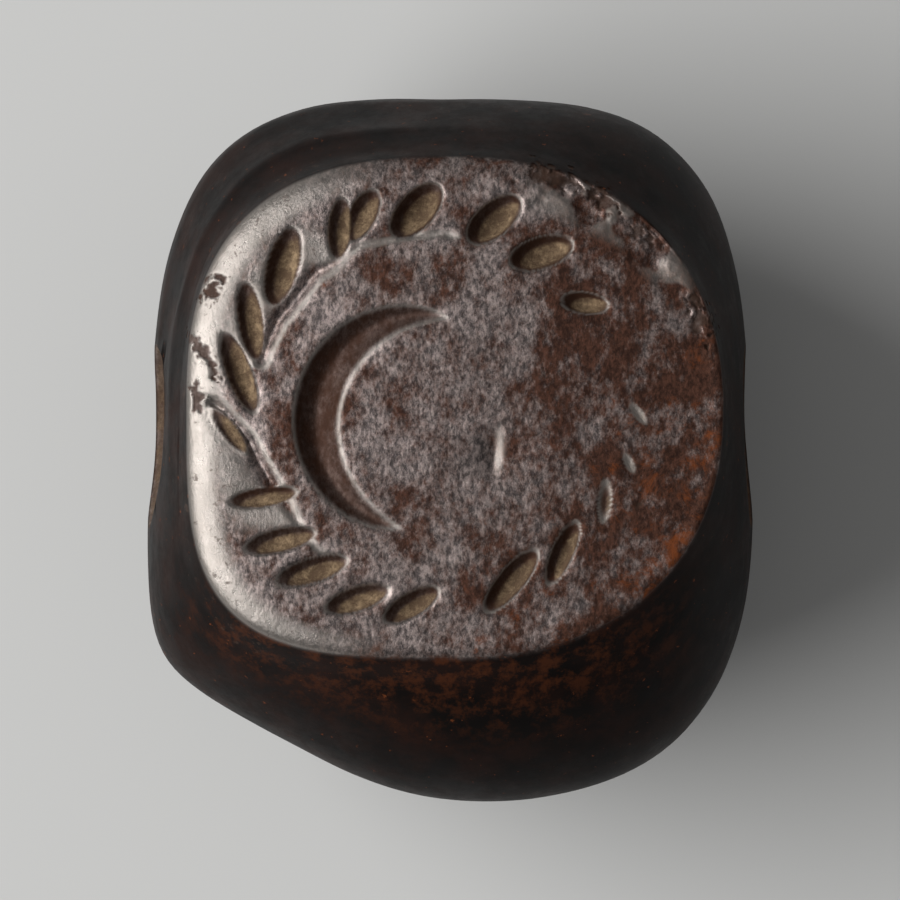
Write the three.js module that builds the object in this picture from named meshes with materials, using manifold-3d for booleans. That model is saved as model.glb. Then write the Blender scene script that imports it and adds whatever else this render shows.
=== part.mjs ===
// A pierced stamp seal cut from one dark polished pebble of stone.
// A crescent inside a wreath of leaves is sunk into its sealing face, so that it prints raised.
// Millimetres. Looking at the sealing face, +X is right and +Y is up, and +Z comes out of it.
// The origin is the middle of the worn spot under the rounded back, on which the seal stands.

import * as THREE from "three";
import { LoftGeometry } from "three/addons/geometries/LoftGeometry.js";
import { mergeVertices } from "three/addons/utils/BufferGeometryUtils.js";
import Module from "manifold-3d";

// Heights above the worn spot
const SEAL_DEPTH = 12.4;
const GIRDLE_HEIGHT = 6.4;

// Plan outline at the girdle, where the stone is widest, drawn about the origin.
// A larger corner number is a squarer corner.
const GIRDLE = {
  x: 0.02,
  y: -0.02,
  halfWidth: 7.27,
  halfHeight: 8.52,
  widening: 0.04,
  corners: { topRight: 3.4, topLeft: 3.4, bottomLeft: 3.55, bottomRight: 2.7 },
};

// The lower left corner is ground away along a flat, which the outline meets softly
const GROUND_FLAT = { distance: 8.08, degrees: 241.3, hardness: 20 };

// Plan outline of the sealing face with its shoulder, which sits off centre towards the top
const FACE = {
  x: 0.12,
  y: 1.02,
  halfWidth: 6.43,
  halfHeight: 6.0,
  widening: 0,
  corners: { topRight: 2.2, topLeft: 2.65, bottomLeft: 3.6, bottomRight: 2.25 },
};

// Shoulder between face and flank: broad where a thumb wore it, tight on the right
const SHOULDER_WIDTH = { right: 0.4, top: 0.85, left: 1.25, bottom: 0.65 };
const SHOULDER_DROP = { right: 0.35, top: 0.6, left: 0.8, bottom: 0.45 };
const FACE_HANDLE = 0.45;
const FLANK_HANDLE = 0.4;

// Rounded back: its fullness, and how much wear took off its lowest point
const BACK_FULLNESS = 2.4;
const BACK_WEAR = 0.08;

// Perforation for a cord, drilled from both flanks until the two bores met
const BORE_Y = 0.39;
const BORE_HEIGHT = 6.9;
const BORE_MIDDLE_RADIUS = 1.75;
const BORE_MOUTH_RADIUS = 2.1;
const BORE_HALF_LENGTH = 8.5;
const MOUTH_EASE_START = 6.4;
const MOUTH_EASE = 0.3;

// Crescent: a round-bottomed channel that opens right and runs out in two points
const CRESCENT = { x: -0.63, y: 0.65, radius: 2.58, from: 75, to: 259, width: 1.16, depth: 0.42 };
const CRESCENT_TAPER = 0.8;

// Leaves, each one cut with the rim of a small wheel: middle x and y, length, width and lean in degrees
const LEAVES = [
  [-2.63, 5.3, 1.6, 0.6, 85],
  [-2.1, 5.61, 1.45, 0.7, 62],
  [-4.0, 4.39, 2.05, 0.8, 75],
  [-4.77, 3.08, 2.05, 0.64, 99],
  [-5.04, 1.86, 2.2, 0.64, 111],
  [-5.28, 0.46, 1.6, 0.44, 128],
  [-0.8, 5.73, 1.7, 0.9, 48],
  [1.06, 5.52, 1.65, 0.85, 40],
  [2.19, 4.72, 1.65, 0.8, 17],
  [3.23, 3.52, 1.2, 0.55, -8],
  [-4.48, -1.13, 1.78, 0.52, 9],
  [-4.07, -2.17, 1.85, 0.6, 13],
  [-3.3, -2.89, 1.88, 0.64, 17],
  [-2.22, -3.57, 1.7, 0.62, 18],
  [-0.92, -3.71, 1.6, 0.62, 30],
  [1.47, -3.13, 2.0, 0.66, 50],
  [2.7, -2.46, 1.75, 0.56, 66],
  [3.71, -1.23, 1.1, 0.34, 85],
  [4.29, -0.31, 0.55, 0.22, 116],
  [4.51, 0.87, 0.65, 0.24, 128],
];
const LEAF_DEPTH_SHARE = 0.42;

// Stem of the wreath: two fine scratched lines, as x, y and how far they lie below the face
const UPPER_STEM = [
  [-4.63, 1.88, 0],
  [-4.46, 2.41, 0],
  [-4.1, 3.13, 0],
  [-3.61, 3.73, 0],
  [-3.25, 4.22, 0],
  [-2.65, 4.53, 0],
  [-2.17, 4.89, 0],
  [-1.2, 5.06, 0],
  [-0.24, 5.18, 0],
  [0.36, 5.08, 0],
];
const LOWER_STEM = [
  [-5.9, 1.37, 0.25],
  [-5.3, 0.72, 0.04],
  [-4.82, 0.22, 0],
  [-4.53, -0.36, 0],
  [-4.22, -0.87, 0],
  [-3.81, -1.49, 0],
  [-3.18, -2.36, 0],
  [-2.41, -2.89, 0],
];
const STEM_WIDTH = 0.2;
const STEM_DEPTH = 0.12;
const STEM_TAPER = 0.35;

// Counts of faces
const AROUND = 92;
const BACK_RINGS = 11;
const FLANK_RINGS = 9;
const SHOULDER_RINGS = 6;
const BORE_SIDES = 32;
const LEAF_SIDES = 12;
const LEAF_RINGS = 11;

const STONE_COLOUR = 0x3b2b25;

const wasm = await Module();
wasm.setup();

// A closed three.js geometry as a solid that can be cut
function solidOf(geometry) {
  const bare = new THREE.BufferGeometry();
  bare.setAttribute("position", geometry.getAttribute("position"));
  bare.setIndex(geometry.getIndex());
  const merged = mergeVertices(bare, 1e-4);
  return new wasm.Manifold(
    new wasm.Mesh({
      numProp: 3,
      vertProperties: new Float32Array(merged.attributes.position.array),
      triVerts: new Uint32Array(merged.index.array),
    }),
  );
}

// A cut solid back as a three.js geometry, with flat facets
function geometryOf(solid) {
  const mesh = solid.getMesh();
  const indexed = new THREE.BufferGeometry();
  indexed.setAttribute("position", new THREE.BufferAttribute(mesh.vertProperties, mesh.numProp));
  indexed.setIndex(new THREE.BufferAttribute(mesh.triVerts, 1));
  const facets = indexed.toNonIndexed();
  facets.computeVertexNormals();
  return facets;
}

// A size that differs between the four sides, at any turn round the stone
function bySide(sides, turn) {
  const across = Math.cos(turn);
  const up = Math.sin(turn);
  const sideways = across > 0 ? sides.right : sides.left;
  const upright = up > 0 ? sides.top : sides.bottom;
  return sideways * across ** 2 + upright * up ** 2;
}

// How far a plan outline lies from its own middle: a superellipse with four unlike corners
function outlineReach(outline, turn) {
  const { corners, halfWidth, halfHeight, widening } = outline;
  const across = Math.cos(turn);
  const up = Math.sin(turn);
  const top = across > 0 ? corners.topRight : corners.topLeft;
  const bottom = across > 0 ? corners.bottomRight : corners.bottomLeft;
  const corner = up > 0 ? top : bottom;
  const width = halfWidth * (1 - widening * up);
  return (Math.abs(across / width) ** corner + Math.abs(up / halfHeight) ** corner) ** (-1 / corner);
}

// The girdle's reach with the ground flat taken off it
function girdleReach(turn) {
  const whole = outlineReach(GIRDLE, turn);
  const lean = Math.cos(turn - THREE.MathUtils.degToRad(GROUND_FLAT.degrees));
  if (lean < 0.3) return whole;
  const flat = GROUND_FLAT.distance / lean;
  return (whole ** -GROUND_FLAT.hardness + flat ** -GROUND_FLAT.hardness) ** (-1 / GROUND_FLAT.hardness);
}

// One ring of points round the stone; place gives the reach, height and lift of each.
// Lift runs from 0, centred as the girdle is, to 1, centred as the face is.
function ring(place) {
  const points = [];
  for (let i = 0; i < AROUND; i++) {
    const turn = (i / AROUND) * 2 * Math.PI;
    const { reach, height, lift } = place(turn);
    const x = THREE.MathUtils.lerp(GIRDLE.x, FACE.x, lift) + reach * Math.cos(turn);
    const y = THREE.MathUtils.lerp(GIRDLE.y, FACE.y, lift) + reach * Math.sin(turn);
    points.push(new THREE.Vector3(x, y, height));
  }
  return points;
}

// Back, from the worn spot up to the girdle
function backRing(share) {
  const depth = GIRDLE_HEIGHT + BACK_WEAR;
  const lowest = Math.asin((GIRDLE_HEIGHT / depth) ** (BACK_FULLNESS / 2));
  const angle = lowest * (1 - share);
  const narrowing = Math.cos(angle) ** (2 / BACK_FULLNESS);
  const height = GIRDLE_HEIGHT - depth * Math.sin(angle) ** (2 / BACK_FULLNESS);
  return ring((turn) => ({ reach: girdleReach(turn) * narrowing, height, lift: 0 }));
}

// Flank, from the girdle up to the outer edge of the shoulder
function flankRing(share) {
  const lift = 1 - Math.cos((share * Math.PI) / 2);
  return ring((turn) => ({
    reach: THREE.MathUtils.lerp(girdleReach(turn), outlineReach(FACE, turn), lift),
    height: THREE.MathUtils.lerp(GIRDLE_HEIGHT, SEAL_DEPTH - bySide(SHOULDER_DROP, turn), share),
    lift,
  }));
}

// Section of the shoulder at one turn: it leaves the flank along the flank's slope and lands level on the face
function shoulderCurve(turn) {
  const width = bySide(SHOULDER_WIDTH, turn);
  const drop = bySide(SHOULDER_DROP, turn);
  const edge = new THREE.Vector2(outlineReach(FACE, turn), SEAL_DEPTH - drop);
  const rise = edge.y - GIRDLE_HEIGHT;
  const slope = ((girdleReach(turn) - edge.x) * Math.PI) / 2 / rise;
  const level = new THREE.Vector2(edge.x - width, SEAL_DEPTH);
  const leaving = new THREE.Vector2(edge.x - slope * drop * FLANK_HANDLE, edge.y + drop * FLANK_HANDLE);
  const landing = new THREE.Vector2(level.x + width * FACE_HANDLE, SEAL_DEPTH);
  return new THREE.CubicBezierCurve(edge, leaving, landing, level);
}

function shoulderRing(share) {
  return ring((turn) => {
    const point = shoulderCurve(turn).getPoint(share);
    return { reach: point.x, height: point.y, lift: 1 };
  });
}

// The whole pebble, before anything is cut into it
function pebble() {
  const rings = [];
  for (let i = 0; i <= BACK_RINGS; i++) rings.push(backRing(i / BACK_RINGS));
  for (let i = 1; i <= FLANK_RINGS; i++) rings.push(flankRing(i / FLANK_RINGS));
  for (let i = 1; i <= SHOULDER_RINGS; i++) rings.push(shoulderRing(i / SHOULDER_RINGS));
  return new LoftGeometry(rings, { capStart: true, capEnd: true });
}

// The drilled way through, turned about X: narrowest in the middle, with eased mouths
function perforation() {
  const stations = [-8.5, -7.6, -7.2, -6.8, -6.4, 0, 6.4, 6.8, 7.2, 7.6, 8.5];
  const profile = [new THREE.Vector2(0, -BORE_HALF_LENGTH)];
  for (const station of stations) {
    const out = Math.abs(station);
    const drilled = THREE.MathUtils.lerp(BORE_MIDDLE_RADIUS, BORE_MOUTH_RADIUS, out / BORE_HALF_LENGTH);
    const eased = MOUTH_EASE * Math.max(0, out - MOUTH_EASE_START) ** 2;
    profile.push(new THREE.Vector2(drilled + eased, station));
  }
  profile.push(new THREE.Vector2(0, BORE_HALF_LENGTH));
  return new THREE.LatheGeometry(profile, BORE_SIDES)
    .rotateZ(-Math.PI / 2)
    .translate(0, BORE_Y, BORE_HEIGHT);
}

// A round-bottomed channel along a path that lies in the face; its size falls to a point at both ends
function channel(path, { width, depth, taper, steps, sides }) {
  const sections = [];
  for (let i = 0; i <= steps; i++) {
    const along = THREE.MathUtils.lerp(-0.998, 0.998, i / steps);
    const size = (1 - along ** 2) ** taper;
    const middle = path.getPointAt(i / steps);
    const ahead = path.getTangentAt(i / steps);
    const across = new THREE.Vector3(-ahead.y, ahead.x, 0).normalize();
    const section = [];
    for (let j = 0; j < sides; j++) {
      const turn = ((j + 0.5) / sides) * 2 * Math.PI;
      const point = middle.clone().addScaledVector(across, Math.cos(turn) * size * (width / 2));
      point.z += Math.sin(turn) * size * depth;
      section.push(point);
    }
    sections.push(section);
  }
  return new LoftGeometry(sections, { capStart: true, capEnd: true });
}

// The crescent's arc, as a curve in the plane of the face
function crescentPath() {
  const from = THREE.MathUtils.degToRad(CRESCENT.from);
  const to = THREE.MathUtils.degToRad(CRESCENT.to);
  const points = [];
  for (let i = 0; i <= 24; i++) {
    const turn = THREE.MathUtils.lerp(from, to, i / 24);
    const x = CRESCENT.x + CRESCENT.radius * Math.cos(turn);
    const y = CRESCENT.y + CRESCENT.radius * Math.sin(turn);
    points.push(new THREE.Vector3(x, y, SEAL_DEPTH));
  }
  return new THREE.CatmullRomCurve3(points);
}

function crescent() {
  const { width, depth } = CRESCENT;
  return channel(crescentPath(), { width, depth, taper: CRESCENT_TAPER, steps: 36, sides: 16 });
}

function stem(points) {
  const path = new THREE.CatmullRomCurve3(points.map(([x, y, below]) => new THREE.Vector3(x, y, SEAL_DEPTH - below)));
  return channel(path, { width: STEM_WIDTH, depth: STEM_DEPTH, taper: STEM_TAPER, steps: 20, sides: 6 });
}

// One leaf: a lens stretched along its lean
function leaf([x, y, length, width, lean]) {
  return new THREE.SphereGeometry(1, LEAF_SIDES, LEAF_RINGS)
    .rotateY(Math.PI / LEAF_SIDES)
    .scale(width / 2, length / 2, width * LEAF_DEPTH_SHARE)
    .rotateZ(THREE.MathUtils.degToRad(lean - 90))
    .translate(x, y, SEAL_DEPTH);
}

// The finished stone
function sealStone() {
  const cuts = [perforation(), crescent(), stem(UPPER_STEM), stem(LOWER_STEM), ...LEAVES.map(leaf)];
  let stone = solidOf(pebble());
  for (const cut of cuts) stone = stone.subtract(solidOf(cut));
  const material = new THREE.MeshStandardMaterial({ color: STONE_COLOUR, roughness: 0.35, metalness: 0.35 });
  const mesh = new THREE.Mesh(geometryOf(stone), material);
  mesh.name = "seal_stone";
  return mesh;
}

const seal = new THREE.Group();
seal.add(sealStone());

export default seal;
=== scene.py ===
"""A pierced stamp seal of dark polished stone, with a crescent in a wreath of leaves cut into its face."""

import math
from collections import namedtuple

import bmesh
import bpy
import numpy as np
from bpy.props import FloatProperty, FloatVectorProperty, PointerProperty
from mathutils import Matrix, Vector, noise


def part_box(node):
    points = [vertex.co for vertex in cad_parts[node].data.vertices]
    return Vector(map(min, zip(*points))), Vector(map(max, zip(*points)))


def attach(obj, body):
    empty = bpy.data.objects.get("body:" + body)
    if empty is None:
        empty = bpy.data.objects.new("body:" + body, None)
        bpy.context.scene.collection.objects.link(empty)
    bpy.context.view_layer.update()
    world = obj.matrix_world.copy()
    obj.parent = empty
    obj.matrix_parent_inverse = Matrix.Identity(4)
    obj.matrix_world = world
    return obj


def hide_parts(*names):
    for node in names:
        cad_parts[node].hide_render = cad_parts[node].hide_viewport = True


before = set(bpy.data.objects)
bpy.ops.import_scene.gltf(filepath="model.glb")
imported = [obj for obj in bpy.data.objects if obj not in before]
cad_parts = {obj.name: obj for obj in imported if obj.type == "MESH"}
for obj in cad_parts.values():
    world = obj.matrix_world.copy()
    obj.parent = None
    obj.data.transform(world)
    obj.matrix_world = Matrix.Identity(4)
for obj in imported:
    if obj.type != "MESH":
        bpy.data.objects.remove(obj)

bl_info = {
    "name": "Stamp Seal",
    "version": (1, 0, 0),
    "blender": (4, 5, 0),
    "location": "3D View > Sidebar > Seal",
    "description": "Builds a pierced stamp seal of dark polished stone on a pale studio floor",
    "category": "Object",
}

# Shapes are worked out in millimetres and kept in metres.
# Looking at the sealing face, +X is right and +Y is up, and +Z comes out of it.
MM = 0.001
CAD_LOW, CAD_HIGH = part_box("seal_stone")
SEAL_DEPTH = (CAD_HIGH.z - CAD_LOW.z) / MM
TINY = 1e-4

# How many half widths out a cut's section is still worked out, and a distance beyond the whole stone
FAR_OUT = 4
FAR_AWAY = 99.0

# Plan outlines at the girdle and at the sealing face; a larger corner number is a squarer corner
GIRDLE_HEIGHT = 6.4
GIRDLE = {
    "x": 0.02,
    "y": -0.02,
    "half_width": 7.27,
    "half_height": 8.52,
    "widening": 0.04,
    "corners": {"top_right": 3.4, "top_left": 3.4, "bottom_left": 3.55, "bottom_right": 2.7},
}
FACE = {
    "x": 0.12,
    "y": 1.02,
    "half_width": 6.43,
    "half_height": 6.0,
    "widening": 0.0,
    "corners": {"top_right": 2.2, "top_left": 2.65, "bottom_left": 3.6, "bottom_right": 2.25},
}
GROUND_FLAT = {"distance": 8.08, "degrees": 241.3, "hardness": 20, "least_lean": 0.3}

# Shoulder between face and flank: broad where a thumb wore it, tight on the right
SHOULDER_WIDTH = {"right": 0.4, "top": 0.85, "left": 1.25, "bottom": 0.65}
SHOULDER_DROP = {"right": 0.35, "top": 0.6, "left": 0.8, "bottom": 0.45}

# Shares of the shoulder's curve that keep the slope of the face, and that of the flank
FACE_HANDLE = 0.45
FLANK_HANDLE = 0.4

# Back: how full its curve is, and how much wear took off its lowest point
BACK_FULLNESS = 2.4
BACK_WEAR = 0.08

# Perforation, drilled from both flanks until the two bores met
BORE_Y = 0.39
BORE_HEIGHT = 6.9
BORE_MIDDLE_RADIUS = 1.75
BORE_MOUTH_RADIUS = 2.1
BORE_HALF_LENGTH = 8.5
MOUTH_EASE_START = 6.4
MOUTH_EASE = 0.3

# Crescent: its middle line, and a section that is lowest a little outside of that line
CRESCENT = {"x": -0.63, "y": 0.65, "radius": 2.58, "from": 75.0, "to": 259.0, "width": 1.16}
CRESCENT_TAPER = 0.8
CRESCENT_BOTTOM = -0.06
CRESCENT_ROUNDNESS = 1.35
CRESCENT_FLOOR = 0.02
INNER_LIP = 0.1
OUTER_LIP = 0.05

# Points this far below the top of the stone, or nearer to it, can be engraved
ENGRAVED_ZONE = 1.6

# Leaves, each cut with the rim of a small wheel, with their middles and with a lean in degrees
Leaf = namedtuple("Leaf", "x y length width lean")
LEAVES = [
    Leaf(-2.63, 5.3, 1.6, 0.6, 85),
    Leaf(-2.1, 5.61, 1.45, 0.7, 62),
    Leaf(-4.0, 4.39, 2.05, 0.8, 75),
    Leaf(-4.77, 3.08, 2.05, 0.64, 99),
    Leaf(-5.04, 1.86, 2.2, 0.64, 111),
    Leaf(-5.28, 0.46, 1.6, 0.44, 128),
    Leaf(-0.8, 5.73, 1.7, 0.9, 48),
    Leaf(1.06, 5.52, 1.65, 0.85, 40),
    Leaf(2.19, 4.72, 1.65, 0.8, 17),
    Leaf(3.23, 3.52, 1.2, 0.55, -8),
    Leaf(-4.48, -1.13, 1.78, 0.52, 9),
    Leaf(-4.07, -2.17, 1.85, 0.6, 13),
    Leaf(-3.3, -2.89, 1.88, 0.64, 17),
    Leaf(-2.22, -3.57, 1.7, 0.62, 18),
    Leaf(-0.92, -3.71, 1.6, 0.62, 30),
    Leaf(1.47, -3.13, 2.0, 0.66, 50),
    Leaf(2.7, -2.46, 1.75, 0.56, 66),
    Leaf(3.71, -1.23, 1.1, 0.34, 85),
    Leaf(4.29, -0.31, 0.55, 0.22, 116),
    Leaf(4.51, 0.87, 0.65, 0.24, 128),
]
LEAF_FLATNESS = 1.3
LEAF_LIP = 0.035
BROAD_LEAF = 0.55

# Earth is shifted towards the lower right of each leaf, where the key light falls, and runs out where the
# leaf does. The earth is real, but its shift paints light on the lower right and leaves painted shade on
# the bare upper left
EARTH_SHIFT_TO_LIT_SIDE_X = 0.15
EARTH_SHIFT_TO_LIT_SIDE_Y = -0.1
EARTH_LIMIT = 1.3

# Stem of the wreath, a fine line with the ground outside it sunk a little: x and y
UPPER_STEM = [
    (-4.63, 1.88),
    (-4.46, 2.41),
    (-4.1, 3.13),
    (-3.61, 3.73),
    (-3.25, 4.22),
    (-2.65, 4.53),
    (-2.17, 4.89),
    (-1.2, 5.06),
    (-0.24, 5.18),
    (0.36, 5.08),
]
LOWER_STEM = [
    (-5.9, 1.37),
    (-5.3, 0.72),
    (-4.82, 0.22),
    (-4.53, -0.36),
    (-4.22, -0.87),
    (-3.81, -1.49),
    (-3.18, -2.36),
    (-2.41, -2.89),
]
STEM_ENDS = 0.08
STEM_LINE_DEPTH = 0.07
STEM_LINE_WIDTH = 0.07
STEM_GROUND_DEPTH = 0.19
STEM_GROUND_REACH = 0.45
STEM_BEVEL = (0.34, -0.05)
STEM_IN_LEAF = (0, 0.1)

# Shares of each stem's length over which the sunk ground beside it fades
UPPER_FADING = (0.4, 0.62)
LOWER_FADING = (0.55, 0.8)

# Dent right of the crescent: a steep facet that faces left, and a shallow fan beyond it
DENT_X = 1.06
DENT_Y = -0.03
DENT_HALF_LENGTH = 0.7
DENT_SLANT = 0.12
DENT_FACET_DEPTH = 0.15
DENT_FACET_WIDTH = 0.26
DENT_FAN_DEPTH = 0.05
DENT_FAN_REACH = (1.5, 0.1)
DENT_FADE = 0.35
# Painted highlight along the facet, in the worn finish: its place across the dent and its width
PAINTED_HIGHLIGHT_ACROSS_DENT = 0.13
PAINTED_HIGHLIGHT_WIDTH = 0.11

# Chips, most of them along the shoulder, with their middles and with a lean in degrees
Chip = namedtuple("Chip", "x y half_length half_width lean")
CHIPS = [
    Chip(-5.72, 3.85, 0.26, 0.13, 60),
    Chip(-5.95, 2.35, 0.48, 0.11, -55),
    Chip(-6.05, 1.3, 0.42, 0.1, -80),
    Chip(2.4, 6.5, 0.6, 0.2, -15),
    Chip(3.5, 6.05, 0.5, 0.2, -30),
    Chip(4.6, 5.1, 0.3, 0.12, -40),
    Chip(6.0, 3.2, 0.4, 0.2, -65),
    Chip(4.6, -1.25, 0.12, 0.05, 40),
]
CHIP_EDGE = (1.15, 0.85)
CHIP_RAGGEDNESS = 1.5
CHIP_DEPTH = 0.06

# Battered stretch of the upper right shoulder: the turns in degrees and the tracks between which it
# comes in and goes out, and the small flakes it is made of
BATTERED_TURNS = (22, 34, 62, 76)
BATTERED_TRACKS = (5.0, 5.5, 6.4, 6.8)
BATTERED_DEPTH = 0.08
FLAKE_DEPTH = 0.17
FLAKE_LIMITS = (-0.4, 0.6)
SHINING_FLAKES = (0.05, -0.15)

# The pebble is swollen from a cube of square cells. Track is the way from the middle of the face, over
# the shoulder, flank and girdle, to the middle of the back.
CELLS = 54
FINE_CUTS = 4
CELL = 2 / CELLS
FACE_TRACK = 5.5
SHOULDER_TRACK = 6.7
CUBE_TOP_TRACK = 7.6
GIRDLE_TRACK = 12.4
CUBE_BOTTOM_TRACK = 17.0
WORN_TRACK = 20.8
WHOLE_TRACK = 22.5

# Unevenness of the flank, which comes in along its track, and of the face
FLANK_UNEVENNESS = 0.05
FLANK_UNEVEN_BIAS = 0.5
FLANK_UNEVEN_EASE = 0.8
FACE_UNEVENNESS = 0.012

# Hollows that grinding left along the upper left of the flank: the turns in degrees between which they
# come in and go out, and track from, track to and depth of each
HOLLOW_TURNS = (75, 110, 165, 205)
GROUND_HOLLOWS = [(6.8, 8.7, 0.07), (8.7, 11.2, 0.09)]

# Noise in the shapes: size of its features in millimetres, where in the noise it starts, and octaves
FLANK_NOISE = (3.2, 3.0, 2)
FACE_NOISE = (0.9, 5.0, 3)
CHIP_NOISE = (0.24, 9.0, 4)
FLAKE_NOISE = (0.85, 21.0, 3)
NOISE_WAY = (1, 1.7, 0.6)
NOISE_FALL = 1.0
NOISE_STEP = 2.0

# Cells that the drill takes out of each side of the cube
MOUTH_CENTRE = 2 * CELL
MOUTH_HALF_WIDTH = 10 * CELL
MOUTH_HALF_HEIGHT = 12 * CELL

# Half width and half height of that patch on the flank, how far round it the cells move to make the
# mouth round, and the rounds in which they settle there
MOUTH_PATCH_WIDTH = 2.12
MOUTH_PATCH_HEIGHT = 2.09
MOUTH_BLEND = 1.6
MOUTH_ROUNDS = 2
FLANK_ROUNDS = 10

# Rings inside the bore, which crowd towards its mouths
BORE_CUTS = 23
BORE_CROWDING = 1.7

# Layers that only the shaping needs, and the easing of the corners that the cells leave
SHAPING_LAYERS = ("in_bore", "along_bore", "track")
SMOOTHING = 0.4
SMOOTHING_ROUNDS = 3

# Marks on the stone: depths, tracks and places between which each comes in, and how much it shines
FLANK_TRACKS = (6.5, 6.8)
EARTH_SHARES = (0.16, 0.36)
# Depths over which the crescent and the leaves turn to the dark channel brown: duller unpolished stone, and
# painted shade in the cuts
BROWN_AND_SHADED_CRESCENT = (0.03, 0.14)
BROWN_AND_SHADED_LEAF = (0.05, 0.12)
BRIGHT_LIP = (0.0, 0.025, 0.05, 0.14)
# Left shoulder given the worn finish: polish from wear, and a painted highlight where the key light from
# the left reflects
THUMB_POLISH_AND_HIGHLIGHT_TRACKS = (5.6, 6.0)
THUMB_POLISH_AND_HIGHLIGHT_X = (-1.2, -4.3)
LIP_SHINE = 0.8
FLAKE_SHINE = 0.55
# Share of the worn finish put on the dent's facet as a painted highlight
PAINTED_FACET_HIGHLIGHT = 0.8
CHANNEL_DULLNESS = 0.7

# Grain of the finish, with scale as features per millimetre and a lean in degrees
Grain = namedtuple("Grain", "scale detail roughness distortion stretch lean", defaults=(0, (1, 1, 1), 0))
GRAIN = {
    "cloud": Grain(0.55, 7, 0.62, distortion=0.3),
    "fleck": Grain(1.9, 7, 0.75, stretch=(1, 0.7, 1), lean=-14),
    "rust": Grain(1.2, 8, 0.78, distortion=0.4),
    "dashes": Grain(4.6, 7, 0.8, stretch=(1.7, 1, 1), lean=-24),
    "fine": Grain(14.0, 3, 0.6),
    "flank_cloud": Grain(0.7, 6, 0.65),
    "speck": Grain(5.0, 3, 0.6),
    "soil": Grain(2.6, 8, 0.8),
    "pits": Grain(3.2, 4, 0.7),
}

# Values of that grain between which each finish comes in
LIT_DASHES = (0.38, 0.64)
BROWN = (0.43, 0.6)
RUST = (0.585, 0.74)
FLANK_CLOUDS = (0.35, 0.7)
FLANK_RUST = (0.45, 0.62)
SPECKS = (0.68, 0.73)
SOIL = (0.4, 0.66)
PITS = (0.6, 0.66)

# Brown is made of clouds and flecks. It grows to the right, and rust to the lower right, as place from
# and to in millimetres and grain from and to.
CLOUD_SHARE = 0.4
FLECK_SHARE = 0.6
BROWN_TO_RIGHT = (-1.0, 6.0, 0.0, 0.075)
RUST_TO_LOWER_RIGHT = (-1.0, 8.0, -0.04, 0.1)
RUST_LEAN = 0.5
FLANK_RUST_HEIGHT = (9.0, 11.8)
FLANK_RUST_Y = (-2.5, -5.0)

# How fully each finish covers what is under it
COVER = {
    "rust": 0.8,
    "worn": 0.85,
    "speck": 0.6,
    "flank_rust": 0.28,
    "pits": 0.7,
    "chip": 0.8,
    "channel": 0.85,
    "bore": 0.3,
}

# Share of metal in the sheen, and how much of it other finishes take away
SHEEN_METAL = 0.92
METAL_LOST = {"brown": 0.6, "rust": 0.3, "chip": 0.85, "channel": 0.45}

# How much rougher the face is in its lit dashes than between them, and what each finish adds
DASHES_ROUGHNESS = 0.12
ADDED_ROUGHNESS = {"brown": 0.08, "earthy": 0.35, "worn": -0.05, "flank": 0.1}

# Relief of the polish, in millimetres from its lowest to its highest
RELIEF = 0.026
RELIEF_SHARES = {"dashes": 0.7, "fine": 0.3, "soil": 0.8}
RELIEF_ON_FLANK = (0.2, 1.0, 1.0, 0.12)

# How the stone mirrors light where it isn't metal
STONE_IOR = 1.17
STONE_SPECULAR = 0.3

# Studio, in metres and degrees, with the sensor in millimetres. Azimuth runs from +X towards +Y.
KEY_LIGHT = {"azimuth": 178, "elevation": 38, "distance": 0.6, "size": (0.77, 0.336)}
FLOOR_HALF_WIDTH = 3
FLOOR_ROUGHNESS = 0.9
FLOOR_SPECULAR = 0.1
SENSOR_WIDTH = 36
CLIP_START = 0.01
CLIP_END = 10


def mix(a, b, share):
    return a + (b - a) * share


def smooth_step(low, high, value):
    share = np.clip((value - low) / (high - low), 0, 1)
    return share * share * (3 - 2 * share)


def within(limits, value):
    """Rises from 0 to 1 between the first two limits, and falls back between the last two."""
    return smooth_step(*limits[:2], value) * smooth_step(*limits[:1:-1], value)


def soft_positive(value, softness):
    """The larger of value and zero, with the corner between them rounded."""
    return np.maximum(value, 0) + np.maximum(softness - np.abs(value), 0) ** 2 / (4 * softness)


def by_side(sides, turn):
    """A size that differs between the four sides, at any turn round the stone."""
    across = np.cos(turn)
    up = np.sin(turn)
    sideways = np.where(across > 0, sides["right"], sides["left"])
    upright = np.where(up > 0, sides["top"], sides["bottom"])
    return sideways * across**2 + upright * up**2


def outline_reach(outline, turn):
    """How far a plan outline lies from its own middle: a superellipse with four unlike corners."""
    across = np.cos(turn)
    up = np.sin(turn)
    corners = outline["corners"]
    top = np.where(across > 0, corners["top_right"], corners["top_left"])
    bottom = np.where(across > 0, corners["bottom_right"], corners["bottom_left"])
    corner = np.where(up > 0, top, bottom)
    width = outline["half_width"] * (1 - outline["widening"] * up)
    sideways = np.abs(across / width) ** corner
    upright = np.abs(up / outline["half_height"]) ** corner
    return (sideways + upright) ** (-1 / corner)


def girdle_reach(turn):
    """The girdle's reach with the ground flat taken off it."""
    whole = outline_reach(GIRDLE, turn)
    lean = np.cos(turn - math.radians(GROUND_FLAT["degrees"]))
    flat = GROUND_FLAT["distance"] / np.maximum(lean, GROUND_FLAT["least_lean"])
    hardness = GROUND_FLAT["hardness"]
    met = (whole**-hardness + flat**-hardness) ** (-1 / hardness)
    return np.where(lean < GROUND_FLAT["least_lean"], whole, met)


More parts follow.
